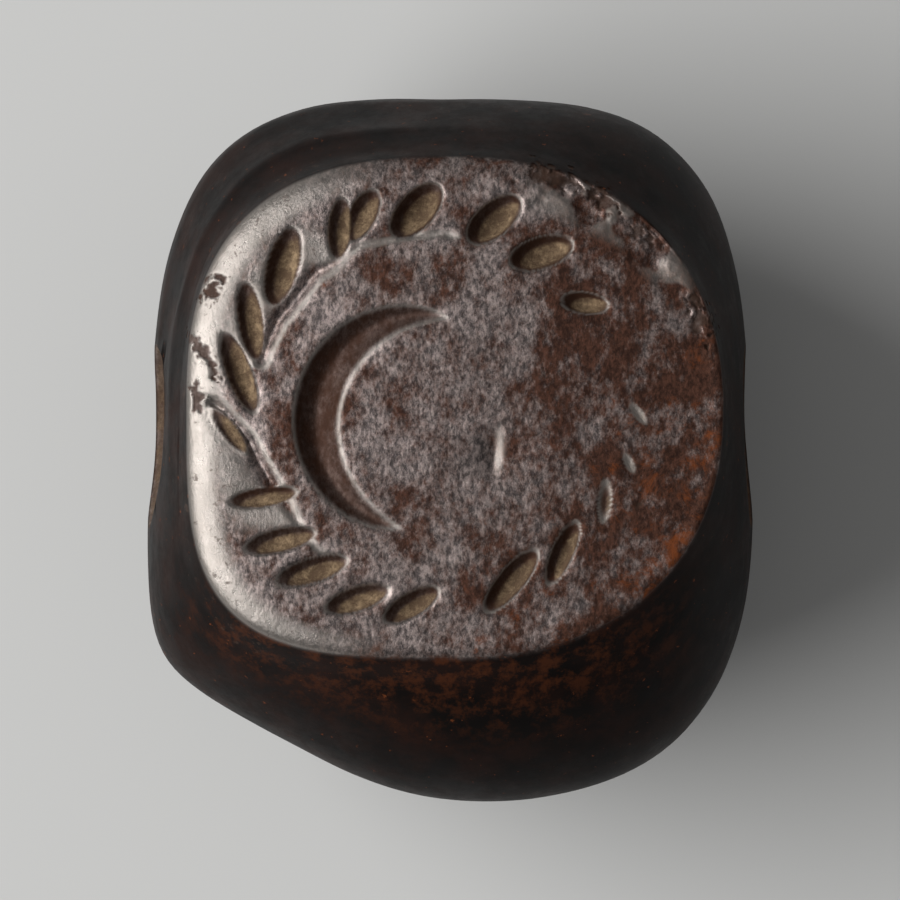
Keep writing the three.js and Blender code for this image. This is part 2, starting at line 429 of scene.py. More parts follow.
def shoulder_curve(turn, share, crown):
    """Reach and height on the shoulder, from level with the face at share 0 to the flank at share 1."""
    width = by_side(SHOULDER_WIDTH, turn)
    drop = by_side(SHOULDER_DROP, turn)
    edge = outline_reach(FACE, turn)
    level = edge - width
    slope = (girdle_reach(turn) - edge) * math.pi / 2 / (SEAL_DEPTH - drop - GIRDLE_HEIGHT)
    fall = 2 * crown / level
    reaches = (
        level,
        level + width * FACE_HANDLE,
        edge - slope * drop * FLANK_HANDLE,
        edge,
    )
    top = SEAL_DEPTH - crown
    low = SEAL_DEPTH - drop
    heights = (top, top - fall * width * FACE_HANDLE, low + drop * FLANK_HANDLE, low)
    rest = 1 - share
    weights = (rest**3, 3 * rest**2 * share, 3 * rest * share**2, share**3)
    reach = sum(weight * value for weight, value in zip(weights, reaches))
    height = sum(weight * value for weight, value in zip(weights, heights))
    return reach, height


def skin(turn, track, crown):
    """Points of the pebble before anything is cut into it, in millimetres."""
    girdle = girdle_reach(turn)
    edge = outline_reach(FACE, turn)
    drop = by_side(SHOULDER_DROP, turn)

    out = np.clip(track / FACE_TRACK, 0, 1)
    face_reach = (edge - by_side(SHOULDER_WIDTH, turn)) * out
    face_height = SEAL_DEPTH - crown * out**2

    over = np.clip((track - FACE_TRACK) / (SHOULDER_TRACK - FACE_TRACK), 0, 1)
    shoulder_reach, shoulder_height = shoulder_curve(turn, over, crown)

    rise = np.clip((GIRDLE_TRACK - track) / (GIRDLE_TRACK - SHOULDER_TRACK), 0, 1)
    lift = 1 - np.cos(rise * math.pi / 2)
    flank_reach = mix(girdle, edge, lift)
    flank_height = mix(GIRDLE_HEIGHT, SEAL_DEPTH - drop, rise)

    back_depth = GIRDLE_HEIGHT + BACK_WEAR
    lowest = math.asin((GIRDLE_HEIGHT / back_depth) ** (BACK_FULLNESS / 2))
    angle = lowest * np.clip((track - GIRDLE_TRACK) / (WORN_TRACK - GIRDLE_TRACK), 0, 1)
    back_reach = girdle * np.cos(angle) ** (2 / BACK_FULLNESS)
    back_height = GIRDLE_HEIGHT - back_depth * np.sin(angle) ** (2 / BACK_FULLNESS)
    worn = np.clip((WHOLE_TRACK - track) / (WHOLE_TRACK - WORN_TRACK), 0, 1)

    zones = [track < FACE_TRACK, track < SHOULDER_TRACK, track < GIRDLE_TRACK]
    reach = np.select(zones, [face_reach, shoulder_reach, flank_reach], back_reach * worn)
    height = np.select(zones, [face_height, shoulder_height, flank_height], back_height)
    x = mix(GIRDLE["x"], FACE["x"], lift) + reach * np.cos(turn)
    y = mix(GIRDLE["y"], FACE["y"], lift) + reach * np.sin(turn)
    return np.stack([x, y, height], axis=1)


def turn_and_track(points):
    """Where points of the cube lie round the stone and along its track."""
    x, y, z = points.T
    far_x = np.where(np.abs(x) < TINY, TINY, x)
    far_y = np.where(np.abs(y) < TINY, TINY, y)
    sideways = np.where(x > 0, 0, math.pi) + math.pi / 4 * y / far_x
    upright = np.sign(y) * math.pi / 2 - math.pi / 4 * x / far_y
    turn = np.where(np.abs(x) >= np.abs(y), sideways, upright)
    out = np.maximum(np.abs(x), np.abs(y))
    side_track = mix(CUBE_TOP_TRACK, CUBE_BOTTOM_TRACK, (1 - z) / 2)
    bottom_track = mix(WHOLE_TRACK, CUBE_BOTTOM_TRACK, out)
    track = np.select([z > 1 - TINY, z < TINY - 1], [CUBE_TOP_TRACK * out, bottom_track], side_track)
    return turn, track


def bore_radius(x):
    """Radius of the perforation, with its mouths eased by wear."""
    out = np.abs(x)
    eased = MOUTH_EASE * np.maximum(out - MOUTH_EASE_START, 0) ** 2
    return mix(BORE_MIDDLE_RADIUS, BORE_MOUTH_RADIUS, out / BORE_HALF_LENGTH) + eased


def on_flank(y, z, side, crown):
    """The skin's points at given y and z, on the right flank for side 1 and on the left for side -1."""
    turn = np.where(side > 0, 0.0, math.pi)
    back_depth = GIRDLE_HEIGHT + BACK_WEAR
    lowest = math.asin((GIRDLE_HEIGHT / back_depth) ** (BACK_FULLNESS / 2))
    below = np.clip((GIRDLE_HEIGHT - z) / back_depth, 0, 1)
    back_track = mix(GIRDLE_TRACK, WORN_TRACK, np.arcsin(below ** (BACK_FULLNESS / 2)) / lowest)
    for _ in range(FLANK_ROUNDS):
        drop = by_side(SHOULDER_DROP, turn)
        rise = (z - GIRDLE_HEIGHT) / (SEAL_DEPTH - drop - GIRDLE_HEIGHT)
        track = np.where(z > GIRDLE_HEIGHT, mix(GIRDLE_TRACK, SHOULDER_TRACK, rise), back_track)
        points = skin(turn, track, crown)
        turn = turn + side * (y - points[:, 1]) / GIRDLE["half_width"]
    return points


def opened_round_mouths(points, cube, rims, crown):
    """Moves the cells round each mouth, so that the hole in the cells becomes the bore's round rim."""
    side = np.sign(cube[:, 0])
    on_side = np.abs(cube[:, 0]) > 1 - TINY
    dy = points[:, 1] - BORE_Y
    dz = points[:, 2] - BORE_HEIGHT
    distance = np.maximum(np.hypot(dy, dz), TINY)
    across = np.abs(dy / distance)
    up = np.abs(dz / distance)
    patch = np.minimum(
        MOUTH_PATCH_WIDTH / np.maximum(across, TINY), MOUTH_PATCH_HEIGHT / np.maximum(up, TINY)
    )
    near = on_side & (distance < patch + MOUTH_BLEND)
    radius = np.full(len(points), float(bore_radius(GIRDLE["half_width"])))
    moved = points.copy()
    for _ in range(MOUTH_ROUNDS):
        beyond = np.where(rims, 0, np.maximum(distance - patch, 0))
        wanted = radius + beyond * (patch + MOUTH_BLEND - radius) / MOUTH_BLEND
        y = BORE_Y + dy / distance * wanted
        z = BORE_HEIGHT + dz / distance * wanted
        moved[near] = on_flank(y[near], z[near], side[near], crown)
        radius = bore_radius(moved[:, 0])
    return moved


def crescent_depth(x, y, depth):
    """How deep the crescent's channel goes: a rounded V that runs out in two points."""
    dx = x - CRESCENT["x"]
    dy = y - CRESCENT["y"]
    degrees = np.degrees(np.arctan2(dy, dx)) % 360
    along = 2 * (degrees - CRESCENT["from"]) / (CRESCENT["to"] - CRESCENT["from"]) - 1
    size = np.maximum(1 - along**2, TINY) ** CRESCENT_TAPER
    inwards = (CRESCENT["radius"] - np.hypot(dx, dy)) / (CRESCENT["width"] / 2) / size
    from_bottom = inwards - CRESCENT_BOTTOM
    wall = np.where(from_bottom > 0, 1 - CRESCENT_BOTTOM, 1 + CRESCENT_BOTTOM)
    climb = np.sqrt((from_bottom / wall) ** 2 + CRESCENT_FLOOR)
    cut = depth * size * (1 - np.minimum(climb, FAR_OUT) ** CRESCENT_ROUNDNESS)
    softness = np.where(from_bottom > 0, INNER_LIP, OUTER_LIP) * np.sqrt(size)
    return np.where(np.abs(along) < 1, soft_positive(cut, softness), 0)


def along_and_aside(x, y, spot):
    """Distances along and across a leaf or a chip, from its middle."""
    across = math.cos(math.radians(spot.lean))
    up = math.sin(math.radians(spot.lean))
    dx = x - spot.x
    dy = y - spot.y
    return dx * across + dy * up, dy * across - dx * up


def leaf_depth(x, y, leaf, share):
    """How deep one leaf goes: a boat with a broad floor and a rounded lip. Narrow leaves are shallower."""
    along, aside = along_and_aside(x, y, leaf)
    from_middle = (along / (leaf.length / 2)) ** 2 + (aside / (leaf.width / 2)) ** 2
    deepest = leaf.width * share * min(leaf.width / BROAD_LEAF, 1)
    return soft_positive(deepest * (1 - np.minimum(from_middle, FAR_OUT) ** LEAF_FLATNESS), LEAF_LIP)


def cut_leaves(x, y, share):
    """How deep the leaves go, and how thick the earth in each one lies as a share of its width."""
    leaves = np.zeros(x.shape)
    earth = np.zeros(x.shape)
    for leaf in LEAVES:
        depth = leaf_depth(x, y, leaf, share)
        leaves = np.maximum(leaves, depth)
        # Shifted towards the lit lower right: painted light there, and painted shade on the upper left
        shifted_to_lit_side = leaf_depth(x - EARTH_SHIFT_TO_LIT_SIDE_X, y - EARTH_SHIFT_TO_LIT_SIDE_Y, leaf, share)
        earth = np.maximum(earth, np.minimum(shifted_to_lit_side, EARTH_LIMIT * depth) / leaf.width)
    return leaves, earth


def along_line(x, y, line):
    """Distance from a line of points, positive to the right of its direction, and the share along it."""
    best = np.full(x.shape, FAR_AWAY)
    signed = np.full(x.shape, FAR_AWAY)
    share = np.zeros(x.shape)
    for i in range(len(line) - 1):
        start = np.array(line[i])
        ahead = np.array(line[i + 1]) - start
        length = np.hypot(*ahead)
        dx = x - start[0]
        dy = y - start[1]
        step = np.clip((dx * ahead[0] + dy * ahead[1]) / length**2, 0, 1)
        away = np.hypot(dx - step * ahead[0], dy - step * ahead[1])
        turned = np.sign(dx * ahead[1] - dy * ahead[0])
        nearer = away < best
        best = np.where(nearer, away, best)
        signed = np.where(nearer, away * turned, signed)
        share = np.where(nearer, (i + step) / (len(line) - 1), share)
    return signed, share


def stem_depth(x, y, line, inner_side, fading):
    """A scratched line, and the ground outside it, which the carver sank a little."""
    signed, share = along_line(x, y, line)
    inwards = signed * inner_side
    ends = smooth_step(0, STEM_ENDS, share) * smooth_step(0, STEM_ENDS, 1 - share)
    line_cut = STEM_LINE_DEPTH * np.exp(-((inwards / STEM_LINE_WIDTH) ** 2)) * ends
    reach = np.exp(-np.maximum(-inwards, 0) / STEM_GROUND_REACH)
    sunk = STEM_GROUND_DEPTH * smooth_step(*STEM_BEVEL, inwards) * reach
    return line_cut + sunk * ends * (1 - smooth_step(*fading, share))


def dent(x, y):
    """A blow right of the crescent: how deep it went, and where its facet gets a painted highlight."""
    along = 1 - np.clip(np.abs((y - DENT_Y) / DENT_HALF_LENGTH), 0, 1) ** 2
    step = x - DENT_X - DENT_SLANT * (y < 0) * y
    fade = np.exp(-np.maximum(-step, 0) / DENT_FADE)
    facet = DENT_FACET_DEPTH * smooth_step(DENT_FACET_WIDTH, 0, step) * fade
    fan = DENT_FAN_DEPTH * smooth_step(*DENT_FAN_REACH, step) * fade
    # Painted highlight along the facet that faces the key light
    bright = np.exp(-(((step - PAINTED_HIGHLIGHT_ACROSS_DENT) / PAINTED_HIGHLIGHT_WIDTH) ** 2))
    return along * (facet + fan), along * bright


def rough_noise(points, size, start, octaves):
    """Fractal noise about zero at each point, with features about that size in millimetres."""
    shift = Vector([start * part for part in NOISE_WAY])
    places = [Vector(point) / size + shift for point in points.tolist()]
    return np.array([noise.fractal(place, NOISE_FALL, NOISE_STEP, octaves) for place in places])


def cube_of_cells(bm):
    """A cube of square cells, finer on the side that becomes the sealing face."""
    bmesh.ops.create_cube(bm, size=2)
    bmesh.ops.subdivide_edges(bm, edges=bm.edges[:], cuts=CELLS - 1, use_grid_fill=True)
    top = [face for face in bm.faces if face.calc_center_median().z > 1 - TINY]
    edges = list({edge for face in top for edge in face.edges})
    bmesh.ops.subdivide_edges(bm, edges=edges, cuts=FINE_CUTS, use_grid_fill=True)


def drill_mouths(bm):
    """Takes out the cells where the perforation comes through the two flanks."""
    cells = []
    for face in bm.faces:
        middle = face.calc_center_median()
        if abs(middle.x) < 1 - TINY:
            continue
        wide = abs(middle.y - MOUTH_CENTRE) < MOUTH_HALF_WIDTH
        high = abs(middle.z - MOUTH_CENTRE) < MOUTH_HALF_HEIGHT
        if wide and high:
            cells.append(face)
    bmesh.ops.delete(bm, geom=cells, context="FACES")


def join_mouths(bm, in_bore, along_bore):
    """Bridges the two mouths and cuts the way between them into rings."""
    rims = [edge for edge in bm.edges if edge.is_boundary]
    for edge in rims:
        for vertex in edge.verts:
            vertex[in_bore] = 1
            vertex[along_bore] = math.copysign(1, vertex.co.x)
    bmesh.ops.bridge_loops(bm, edges=rims)
    long_edges = [
        edge
        for edge in bm.edges
        if edge.verts[0][along_bore] * edge.verts[1][along_bore] < 0
    ]
    bmesh.ops.subdivide_edges(bm, edges=long_edges, cuts=BORE_CUTS, use_grid_fill=True)


def shape_bore(points, inside, along):
    """Gathers the bore's rings towards its mouths and gives each one its radius."""
    shaped = points.copy()
    crowded = np.sign(along) * (1 - (1 - np.abs(along)) ** BORE_CROWDING)
    x = points[:, 0] + (crowded - along) * GIRDLE["half_width"]
    dy = points[:, 1] - BORE_Y
    dz = points[:, 2] - BORE_HEIGHT
    distance = np.maximum(np.hypot(dy, dz), TINY)
    radius = bore_radius(x)
    round_points = np.stack([x, BORE_Y + dy / distance * radius, BORE_HEIGHT + dz / distance * radius], 1)
    shaped[inside] = round_points[inside]
    return shaped


def read_points(bm):
    return np.array([vertex.co[:] for vertex in bm.verts])


def write_points(bm, points):
    for vertex, point in zip(bm.verts, points.tolist()):
        vertex.co = point


def degrees_round_face(points):
    """How far round the middle of the sealing face each point lies."""
    return np.degrees(np.arctan2(points[:, 1] - FACE["y"], points[:, 0] - FACE["x"])) % 360


def worn_relief(points, track):
    """How far the flank and back are sunk: soft unevenness, and hollows ground along the upper left."""
    turn = degrees_round_face(points)
    off_face = smooth_step(SHOULDER_TRACK, SHOULDER_TRACK + FLANK_UNEVEN_EASE, track)
    uneven = np.maximum(rough_noise(points, *FLANK_NOISE) + FLANK_UNEVEN_BIAS, 0)
    hollows = np.zeros(turn.shape)
    for upper, lower, depth in GROUND_HOLLOWS:
        share = np.clip((track - upper) / (lower - upper), 0, 1)
        hollows += depth * (1 - (2 * share - 1) ** 2)
    return FLANK_UNEVENNESS * uneven * off_face + hollows * within(HOLLOW_TURNS, turn)


def chip_marks(points):
    """How far each point lies inside a chip."""
    x, y, _ = points.T
    ragged = CHIP_RAGGEDNESS * rough_noise(points, *CHIP_NOISE)
    marks = np.zeros(x.shape)
    for chip in CHIPS:
        along, aside = along_and_aside(x, y, chip)
        from_middle = np.hypot(along / chip.half_length, aside / chip.half_width)
        marks = np.maximum(marks, smooth_step(*CHIP_EDGE, from_middle + ragged))
    return marks


def battered_stretch(points, track):
    """How far the battered stretch of the shoulder is sunk by small flakes, and where it still shines."""
    battered = within(BATTERED_TURNS, degrees_round_face(points)) * within(BATTERED_TRACKS, track)
    flakes = rough_noise(points, *FLAKE_NOISE)
    sunk = BATTERED_DEPTH + FLAKE_DEPTH * np.clip(flakes, *FLAKE_LIMITS)
    return battered * sunk, battered * smooth_step(*SHINING_FLAKES, flakes)


def engrave(points, track, sizes):
    """Sinks the engraving into the face. Returns the new points and what each one is part of."""
    on_face = points[:, 2] > SEAL_DEPTH - ENGRAVED_ZONE
    near = points[on_face]
    x, y, _ = near.T
    crescent = crescent_depth(x, y, sizes.crescent_depth / MM)
    leaves, earth = cut_leaves(x, y, sizes.leaf_depth_share)
    upper_stem = stem_depth(x, y, UPPER_STEM, 1, UPPER_FADING)
    lower_stem = stem_depth(x, y, LOWER_STEM, -1, LOWER_FADING)
    stems = np.maximum(upper_stem, lower_stem) * (1 - smooth_step(*STEM_IN_LEAF, leaves))
    carved = np.maximum(np.maximum(crescent, leaves), stems)
    chips = chip_marks(near)
    battered, shining = battered_stretch(near, track[on_face])
    dented, facet = dent(x, y)
    uneven = np.maximum(FACE_UNEVENNESS * rough_noise(near, *FACE_NOISE) + FACE_UNEVENNESS, 0)
    engraved = points.copy()
    engraved[on_face, 2] -= carved + dented + CHIP_DEPTH * chips + battered + uneven

    # Channel: darker, duller brown in the crescent and the leaves, partly unpolished stone and partly
    # painted shade in the cuts
    channel = np.maximum(smooth_step(*BROWN_AND_SHADED_CRESCENT, crescent), smooth_step(*BROWN_AND_SHADED_LEAF, leaves))
    # The left shoulder's worn finish is polish from wear and also a painted highlight on the side the key
    # light comes from
    thumb_polish_and_highlight = smooth_step(*THUMB_POLISH_AND_HIGHLIGHT_TRACKS, track[on_face]) * smooth_step(*THUMB_POLISH_AND_HIGHLIGHT_X, x)
    worn = np.maximum(thumb_polish_and_highlight, LIP_SHINE * within(BRIGHT_LIP, carved))
    # The facet mark is a painted highlight in the worn finish
    worn = np.maximum(worn, np.maximum(FLAKE_SHINE * shining, PAINTED_FACET_HIGHLIGHT * facet))
    face_marks = {
        "residue": smooth_step(*EARTH_SHARES, earth),
        "channel": channel,
        "chip": chips,
        "worn": worn * (1 - chips) * (1 - CHANNEL_DULLNESS * channel),
    }
    marks = {}
    for name, values in face_marks.items():
        marks[name] = np.zeros(len(points))
        marks[name][on_face] = values
    return engraved, marks


def sunk_by_wear(points, track, in_hole):
    """The skin's points moved inwards, towards the middle of the girdle, by wear and grinding."""
    middle = np.array([0, 0, GIRDLE_HEIGHT])
    outwards = points - middle
    reach = np.linalg.norm(outwards, axis=1, keepdims=True)
    sink = np.where(in_hole, 0, worn_relief(points, track))
    return middle + outwards * (1 - sink[:, None] / reach)


def smooth_sealing_face(bm, track):
    """Eases the corners that the cells leave in the engraving."""
    sealing_face = [vertex for vertex, value in zip(bm.verts, track.tolist()) if value < FACE_TRACK]
    for _ in range(SMOOTHING_ROUNDS):
        bmesh.ops.smooth_vert(
            bm, verts=sealing_face, factor=SMOOTHING, use_axis_x=True, use_axis_y=True, use_axis_z=True
        )


def finished_mesh(bm, marks):
    """The stone's mesh in smooth triangles, with its marks as attributes for the shader."""
    bmesh.ops.triangulate(bm, faces=bm.faces[:], quad_method="SHORT_EDGE")
    for name in SHAPING_LAYERS:
        bm.verts.layers.float.remove(bm.verts.layers.float[name])
    bmesh.ops.recalc_face_normals(bm, faces=bm.faces[:])
    for face in bm.faces:
        face.smooth = True
    mesh = bpy.data.meshes.new("carved_stone")
    bm.to_mesh(mesh)
    for name, values in marks.items():
        layer = mesh.attributes.new(name, "FLOAT", "POINT")
        layer.data.foreach_set("value", values.astype(np.float32))
    return mesh


def stone_mesh(sizes):
    """The whole carved stone as one closed mesh: the pebble, its perforation and its engraving."""
    crown = sizes.face_crown / MM
    bm = bmesh.new()
    in_bore, along_bore, track_layer = (bm.verts.layers.float.new(name) for name in SHAPING_LAYERS)
    cube_of_cells(bm)
    drill_mouths(bm)
    cube = read_points(bm)
    rims = np.array([any(edge.is_boundary for edge in vertex.link_edges) for vertex in bm.verts])
    turn, track = turn_and_track(cube)
    write_points(bm, opened_round_mouths(skin(turn, track, crown), cube, rims, crown))
    for vertex, value in zip(bm.verts, track.tolist()):
        vertex[track_layer] = value
    join_mouths(bm, in_bore, along_bore)
    track = np.array([vertex[track_layer] for vertex in bm.verts])
    inside = np.array([vertex[in_bore] > 0.5 for vertex in bm.verts])
    along = np.array([vertex[along_bore] for vertex in bm.verts])
    in_hole = inside & (np.abs(along) < 1 - TINY)
    points = sunk_by_wear(shape_bore(read_points(bm), in_hole, along), track, in_hole)
    points, marks = engrave(points, track, sizes)
    # The bore mark makes the inside of the perforation dark, rough and earthy: the drilled wall with earth,
    # and painted shade inside the hole
    marks["bore"] = np.where(in_hole, 1.0, 0.0)
    marks["flank"] = np.where(in_hole, 0, smooth_step(*FLANK_TRACKS, track))
    write_points(bm, points * MM)
    smooth_sealing_face(bm, track)
    mesh = finished_mesh(bm, marks)
    bm.free()
    return mesh


class Nodes:
    """Adds shader nodes to one material, and knows where on the stone it is, in millimetres."""

    def __init__(self, tree):
        self.tree = tree
        tree.nodes.clear()
        metres = tree.nodes.new("ShaderNodeTexCoord").outputs["Object"]
        scale = (1 / MM, 1 / MM, 1 / MM)
        self.place = self.add("ShaderNodeVectorMath", {0: metres, 1: scale}, operation="MULTIPLY")
        axes = tree.nodes.new("ShaderNodeSeparateXYZ")
        tree.links.new(self.place, axes.inputs[0])
        self.x, self.y, self.z = axes.outputs

    def add(self, kind, sockets, **settings):
        """One node with its settings and with a value or a link for each named socket."""
        node = self.tree.nodes.new(kind)
        for name, value in settings.items():
            setattr(node, name, value)
        for name, value in sockets.items():
            if isinstance(value, bpy.types.NodeSocket):
                self.tree.links.new(value, node.inputs[name])
            else:
                node.inputs[name].default_value = value
        return node.outputs[0]

    def math(self, operation, *values):
        return self.add("ShaderNodeMath", dict(enumerate(values)), operation=operation)

    def times(self, value, factor):
        return self.math("MULTIPLY", value, factor)

    def rest(self, value):
        """What is left of 1 without the value."""
        return self.math("SUBTRACT", 1.0, value)

    def ramp(self, value, low, high, to_low=0.0, to_high=1.0):
        sockets = {0: value, 1: low, 2: high, 3: to_low, 4: to_high}
        return self.add("ShaderNodeMapRange", sockets, interpolation_type="SMOOTHSTEP")

    def blend(self, share, first, second):
        """From the first colour at share 0 to the second at share 1."""
        node = self.tree.nodes.new("ShaderNodeMix")
        node.data_type = "RGBA"
        self.tree.links.new(share, node.inputs[0])
        for index, colour in ((6, first), (7, second)):
            if isinstance(colour, bpy.types.NodeSocket):
                self.tree.links.new(colour, node.inputs[index])
            else:
                node.inputs[index].default_value = (*colour, 1)
        return node.outputs[2]

    def mark(self, name):
        node = self.tree.nodes.new("ShaderNodeAttribute")
        node.attribute_name = name
        return node.outputs["Fac"]

    def grain(self, name):
        """Noise over the stone, stretched and leaned about Z as GRAIN says."""
        grain = GRAIN[name]
        turned = (0, 0, math.radians(grain.lean))
        sockets = {"Vector": self.place, "Rotation": turned, "Scale": grain.stretch}
        sockets = {
            "Vector": self.add("ShaderNodeMapping", sockets, vector_type="POINT"),
            "Scale": grain.scale,
            "Detail": grain.detail,
            "Roughness": grain.roughness,
            "Distortion": grain.distortion,
        }
        return self.add("ShaderNodeTexNoise", sockets)


def brown_share(nodes, fleck):
    """Brown in the face: clouds broken up by flecks, more of them towards the right."""
    clouds = nodes.times(nodes.grain("cloud"), CLOUD_SHARE)
    clouds = nodes.math("ADD", clouds, nodes.ramp(nodes.x, *BROWN_TO_RIGHT))
    return nodes.ramp(nodes.math("ADD", clouds, nodes.times(fleck, FLECK_SHARE)), *BROWN)


def rust_share(nodes):
    """Rust in the face, most of it at the lower right."""
    to_lower_right = nodes.math("SUBTRACT", nodes.x, nodes.times(nodes.y, RUST_LEAN))
    more = nodes.ramp(to_lower_right, *RUST_TO_LOWER_RIGHT)
    return nodes.ramp(nodes.math("ADD", nodes.grain("rust"), more), *RUST)


def face_colour(nodes, finish, dashes, brown, rust, worn):
    """Sheen and brown, each brighter in the dashes of polish, with rust and the bright worn places: polish
    from wear, and on the left shoulder and the dent's facet a painted highlight.
    """
    lit = nodes.ramp(dashes, *LIT_DASHES)
    sheen = nodes.blend(lit, finish.sheen_dark, finish.sheen)
    colour = nodes.blend(brown, sheen, nodes.blend(lit, finish.brown_dark, finish.brown))
    colour = nodes.blend(nodes.times(rust, COVER["rust"]), colour, finish.rust)
    return nodes.blend(nodes.times(worn, COVER["worn"]), colour, finish.worn)


def flank_colour(nodes, finish, fleck):
    """Flank and back: dark glassy brown with specks, and rust below the front of the face."""
    clouds = nodes.ramp(nodes.grain("flank_cloud"), *FLANK_CLOUDS)
    colour = nodes.blend(clouds, finish.flank, finish.flank_warm)
    specks = nodes.ramp(nodes.grain("speck"), *SPECKS)
    colour = nodes.blend(nodes.times(specks, COVER["speck"]), colour, finish.rust)
    high = nodes.ramp(nodes.z, *FLANK_RUST_HEIGHT)
    low_front = nodes.times(high, nodes.ramp(nodes.y, *FLANK_RUST_Y))
    rusty = nodes.times(nodes.ramp(fleck, *FLANK_RUST), low_front)
    return nodes.blend(nodes.times(rusty, COVER["flank_rust"]), colour, finish.rust)


def metal_share(nodes, brown, rust, chip, earthy, marks):
    """Share of metal: most in the sheen and the worn places, which are polish from wear and, on the left
    shoulder and the dent's facet, a painted highlight; none on the flank or under earth.
    """
    metal = nodes.math("SUBTRACT", SHEEN_METAL, nodes.times(brown, METAL_LOST["brown"]))
    metal = nodes.math("SUBTRACT", metal, nodes.times(rust, METAL_LOST["rust"]))
    metal = nodes.math("MAXIMUM", metal, marks["worn"])
    lost = (
        marks["flank"],
        nodes.times(chip, METAL_LOST["chip"]),
        earthy,
        nodes.times(marks["channel"], METAL_LOST["channel"]),
    )
    for share in lost:
        metal = nodes.times(metal, nodes.rest(share))
    return metal


def polish_relief(nodes, dashes, soil, earthy, flank):
    """Fine dashes of the last polish, which lean to the right, and the grains of the earth."""
    height = nodes.times(dashes, RELIEF_SHARES["dashes"])
    height = nodes.math("ADD", height, nodes.times(nodes.grain("fine"), RELIEF_SHARES["fine"]))
    height = nodes.times(height, nodes.ramp(flank, *RELIEF_ON_FLANK))
    grains = nodes.times(nodes.times(soil, earthy), RELIEF_SHARES["soil"])
    sockets = {"Height": nodes.math("ADD", height, grains), "Strength": 1.0, "Distance": RELIEF * MM}
    return nodes.add("ShaderNodeBump", sockets)


def stone_material(finish):
    """Polished hematite: grey half-metallic sheen, brown mottling, rust, and earth left in the cuts."""
    material = bpy.data.materials.new("polished_hematite")
    material.use_nodes = True
    nodes = Nodes(material.node_tree)
    marks = {name: nodes.mark(name) for name in ("flank", "residue", "channel", "chip", "worn", "bore")}
    dashes = nodes.grain("dashes")
    fleck = nodes.grain("fleck")
    brown = brown_share(nodes, fleck)
    rust = rust_share(nodes)
    soil = nodes.ramp(nodes.grain("soil"), *SOIL)
    # The inside of the bore is made earthy and given the dark chip colour: rough drilled stone with earth,
    # and painted shade inside the hole
    earthy = nodes.math("MAXIMUM", marks["residue"], nodes.times(marks["bore"], COVER["bore"]))
    pits = nodes.times(nodes.ramp(nodes.grain("pits"), *PITS), marks["worn"])
    chip = nodes.math("MAXIMUM", marks["chip"], nodes.times(pits, COVER["pits"]))
    chip = nodes.math("MAXIMUM", chip, marks["bore"])

    colour = face_colour(nodes, finish, dashes, brown, rust, marks["worn"])
    colour = nodes.blend(marks["flank"], colour, flank_colour(nodes, finish, fleck))
    colour = nodes.blend(nodes.times(chip, COVER["chip"]), colour, finish.chip)
    # Dark channel brown in the cuts: unpolished stone, with painted shade
    colour = nodes.blend(nodes.times(marks["channel"], COVER["channel"]), colour, finish.channel)
    # Earth, shifted towards the lit lower right of each leaf, paints light there and shade on the bare
    # upper left
    colour = nodes.blend(earthy, colour, nodes.blend(soil, finish.earth, finish.earth_light))

    rough = nodes.times(dashes, DASHES_ROUGHNESS)
    rough = nodes.math("ADD", finish.roughness - DASHES_ROUGHNESS / 2, rough)
    roughened = {"brown": brown, "earthy": earthy, "worn": marks["worn"], "flank": marks["flank"]}
    for name, share in roughened.items():
        rough = nodes.math("ADD", rough, nodes.times(share, ADDED_ROUGHNESS[name]))

    shader = nodes.tree.nodes.new("ShaderNodeBsdfPrincipled")
    shader.inputs["IOR"].default_value = STONE_IOR
    shader.inputs["Specular IOR Level"].default_value = STONE_SPECULAR
    surface = {
        "Base Color": colour,
        "Metallic": metal_share(nodes, brown, rust, chip, earthy, marks),
        "Roughness": rough,
        "Normal": polish_relief(nodes, dashes, soil, earthy, marks["flank"]),
    }
    for name, socket in surface.items():
        nodes.tree.links.new(socket, shader.inputs[name])
    output = nodes.tree.nodes.new("ShaderNodeOutputMaterial")
    nodes.tree.links.new(shader.outputs[0], output.inputs[0])
    return material


class SealSizes(bpy.types.PropertyGroup):
    face_crown: FloatProperty(
        name="Face crown",
        description="How far the rim of the sealing face lies below its middle",
        default=0.27 * MM,
        unit="LENGTH",
    )
    crescent_depth: FloatProperty(
        name="Crescent depth",
        description="Depth of the crescent's channel",
        default=0.46 * MM,
        unit="LENGTH",
    )
    leaf_depth_share: FloatProperty(
        name="Leaf depth share", description="Depth of a leaf as a share of its width", default=0.5
    )


def colour_property(name, description, default):
    return FloatVectorProperty(
        name=name, description=description, subtype="COLOR", size=3, min=0, max=1, default=default
    )


